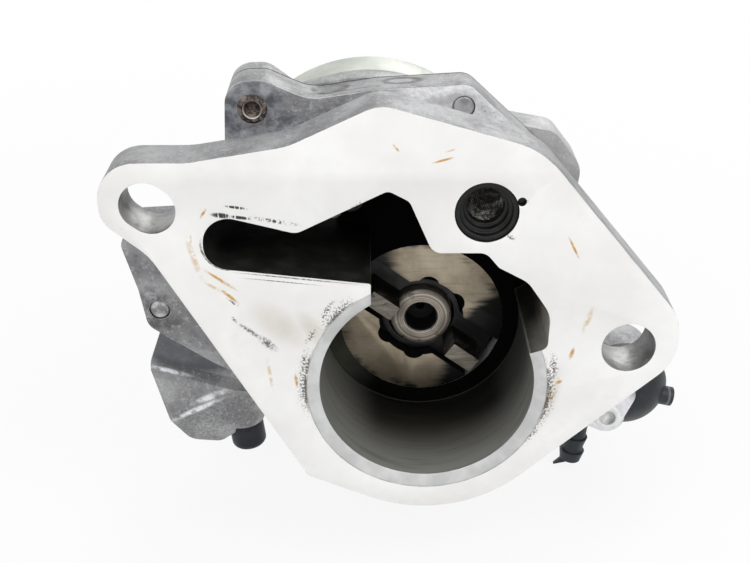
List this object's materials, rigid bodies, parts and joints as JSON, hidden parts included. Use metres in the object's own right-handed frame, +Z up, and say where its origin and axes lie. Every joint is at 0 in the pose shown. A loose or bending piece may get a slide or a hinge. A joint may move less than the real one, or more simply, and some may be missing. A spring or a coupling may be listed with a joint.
{
  "type": "vacuum pump",
  "caption": "Camshaft-driven rotary vane vacuum pump with a bolted flange, slotted drive coupling, oil feed port and hose nipple.",
  "frame": {"origin": "where the drive axis meets the mounting face", "axes": "+Y along the drive axis into the pump, away from the mounting face; +Z up; +X to the right seen from the drive side"},
  "size_m": [0.1169, 0.0706, 0.1017],
  "materials": {
    "cast_aluminium": "machined and as-cast",
    "cast_body": "as-cast, oily",
    "cover_aluminium": "satin",
    "gasket_sheet": "matt",
    "rotor_steel": "sintered, satin",
    "coupling_steel": "satin",
    "spring_steel": "bright",
    "screw_steel": "zinc plated",
    "vane_carbon": "satin",
    "valve_plastic": "matt",
    "black_plastic": "satin",
    "black_rubber": "matt",
    "strainer_mesh": "woven"
  },
  "bodies": {
    "housing": {"front_housing": "cast_aluminium", "joint_gasket": "gasket_sheet", "pump_body": "cast_body", "oil_seal": "black_rubber", "oil_strainer": "strainer_mesh", "body_screws": "screw_steel", "locating_dowels": "screw_steel", "rear_cover": "cover_aluminium", "cover_screws": "screw_steel", "cover_seal": "black_rubber", "valve_dome": "black_plastic", "valve_seal": "black_rubber", "valve_seat": "valve_plastic", "valve_spring": "spring_steel", "reed_stop": "coupling_steel", "reed_screw": "screw_steel", "body_plug": "black_rubber"},
    "rotor": {"rotor": "rotor_steel", "vane_spring": "spring_steel"},
    "coupling": {"drive_coupling": "coupling_steel"},
    "upper_vane": {"vane_a": "vane_carbon"},
    "lower_vane": {"vane_b": "vane_carbon"},
    "check_disc": {"valve_disc": "black_rubber"},
    "reed": {"reed_valve": "spring_steel"}
  },
  "joints": [
    {"name": "rotor_spin", "type": "hinge", "parent": "housing", "child": "rotor", "pos_m": [0, 0.04, 0], "axis": [0, 1, 0], "continuous": true},
    {"name": "coupling_float", "type": "slide", "parent": "rotor", "child": "coupling", "axis": [0.8039, 0, -0.5948], "range_m": [-0.0004, 0.0004]},
    {"name": "vane_a_slide", "type": "slide", "parent": "rotor", "child": "upper_vane", "axis": [0.5948, 0, 0.8039], "range_m": [0, 0.0048], "deforming": ["vane_spring"]},
    {"name": "vane_b_slide", "type": "slide", "parent": "rotor", "child": "lower_vane", "axis": [-0.5948, 0, -0.8039], "range_m": [0, 0.0048], "deforming": ["vane_spring"]},
    {"name": "valve_lift", "type": "slide", "parent": "housing", "child": "check_disc", "axis": [0, 1, 0], "range_m": [0, 0.0022], "stiffness_N_per_m": 40, "deforming": ["valve_spring"]},
    {"name": "reed_flex", "type": "hinge", "parent": "housing", "child": "reed", "pos_m": [-0.0178, 0.02685, 0.02791], "axis": [-0.0273, 0, 0.9996], "range_deg": [0, 6], "stiffness_Nm_per_rad": 0.02, "deforming": ["reed_valve"]}
  ]
}
